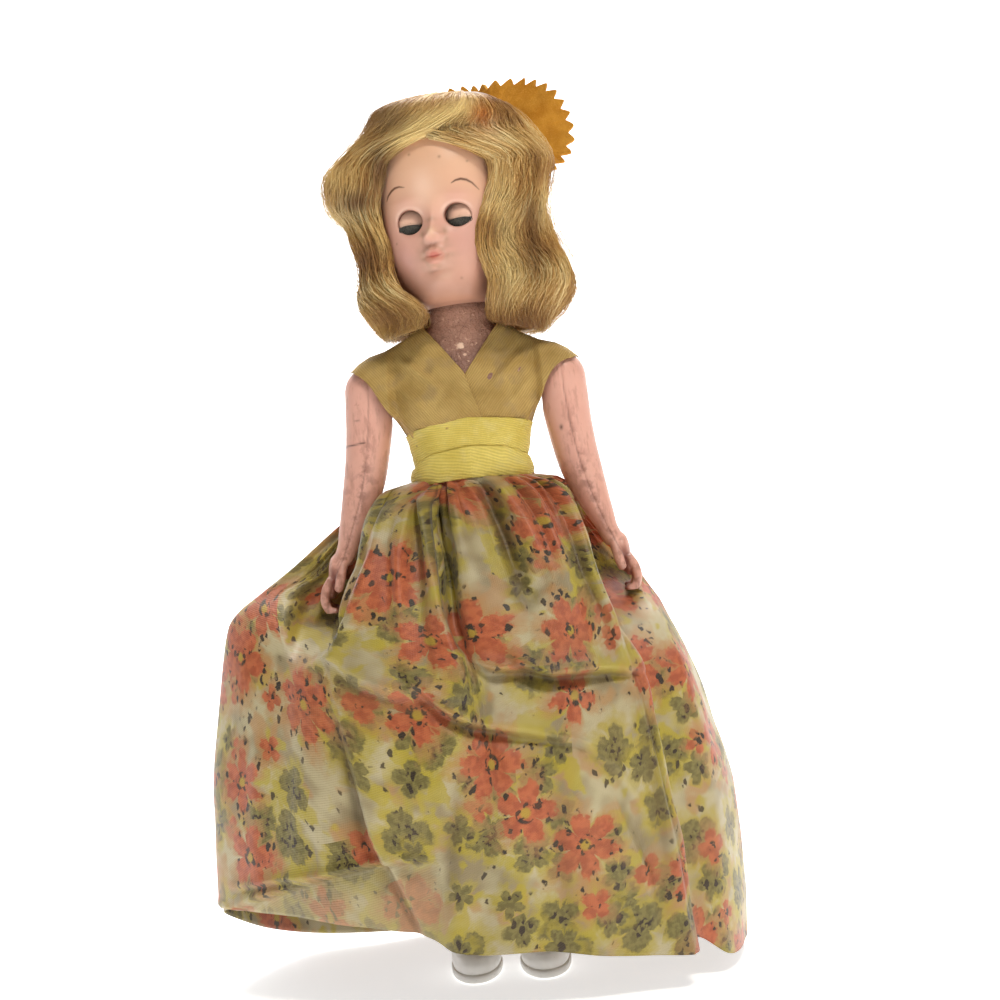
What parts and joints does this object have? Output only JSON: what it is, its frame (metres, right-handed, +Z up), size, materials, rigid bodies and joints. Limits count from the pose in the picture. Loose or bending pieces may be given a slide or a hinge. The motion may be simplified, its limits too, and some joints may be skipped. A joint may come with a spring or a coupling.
{
  "type": "costume doll",
  "caption": "Small strung hard plastic lady doll with sleep eyes, turning head and arms, in a long gathered gown with sash.",
  "frame": {"origin": "on the floor under the middle of the doll's whole outline; the body's own axis stands 5.35 mm to +X of it, because the gown spreads wider on the doll's right", "axes": "+Z up from the soles, the doll faces -Y, its left side is at +X"},
  "size_m": [0.1176, 0.0859, 0.204],
  "materials": {
    "face_plastic": "moulded hard plastic, soft gloss, painted brows and lips",
    "body_plastic": "aged moulded hard plastic, crazed and speckled",
    "arm_plastic": "moulded hard plastic, dirty along its mould seam",
    "shoe_plastic": "white moulded plastic",
    "bodice_cloth": "fine ribbed semi-sheer cloth",
    "sash_cloth": "soft woven cloth laid in a fold",
    "print_cloth": "flowered satin-faced cotton",
    "plated_metal": "bright plated wire and sheet",
    "weight_metal": "dull cast metal",
    "eye_plastic": "glossy moulded plastic",
    "lash_bristle": "dark bristle strip",
    "elastic_cord": "cloth-covered rubber cord",
    "wig_net": "woven wig net",
    "hair_fibre": "waved synthetic fibre, soft sheen",
    "felt": "stiff felt with a pinked edge"
  },
  "bodies": {
    "torso": {"torso_front_half": "body_plastic", "torso_back_half": "body_plastic", "shoe_right": "shoe_plastic", "shoe_left": "shoe_plastic", "bodice_front_right": "bodice_cloth", "bodice_front_left": "bodice_cloth", "bodice_back_right": "bodice_cloth", "bodice_back_left": "bodice_cloth", "sash": "sash_cloth", "skirt": "print_cloth", "snap_upper": "plated_metal", "snap_lower": "plated_metal", "arm_elastic": "elastic_cord", "head_elastic": "elastic_cord", "torso_anchor_bar": "plated_metal"},
    "head": {"head_face_shell": "face_plastic", "head_back_shell": "face_plastic", "eye_bridge": "plated_metal", "wig_cap": "wig_net", "wig_hair": "hair_fibre", "hair_ornament": "felt", "ornament_pin": "plated_metal", "head_anchor_bar": "plated_metal", "head_hook": "plated_metal"},
    "eyes": {"eye_right": "eye_plastic", "eye_left": "eye_plastic", "lash_right": "lash_bristle", "lash_left": "lash_bristle", "eye_crossbar": "plated_metal", "eye_weight": "weight_metal"},
    "arm_right": {"arm_right_outer_half": "arm_plastic", "arm_right_inner_half": "arm_plastic", "arm_right_hook": "plated_metal", "sleeve_right": "bodice_cloth"},
    "arm_left": {"arm_left_outer_half": "arm_plastic", "arm_left_inner_half": "arm_plastic", "arm_left_hook": "plated_metal", "sleeve_left": "bodice_cloth"}
  },
  "joints": [
    {"name": "head_turn", "type": "hinge", "parent": "torso", "child": "head", "pos_m": [0.00535, 0, 0.1484], "axis": [0, 0, 1], "range_deg": [-80, 80]},
    {"name": "eyes_sleep", "type": "hinge", "parent": "head", "child": "eyes", "pos_m": [0.00263, -0.00853, 0.16687], "axis": [0.9786, -0.1991, 0.0523], "range_deg": [-38, 22]},
    {"name": "arm_right_swing", "type": "hinge", "parent": "torso", "child": "arm_right", "pos_m": [-0.01625, 0, 0.131], "axis": [-1, 0, 0], "range_deg": [-45, 95]},
    {"name": "arm_left_swing", "type": "hinge", "parent": "torso", "child": "arm_left", "pos_m": [0.02695, 0, 0.131], "axis": [-1, 0, 0], "range_deg": [-45, 95]}
  ]
}
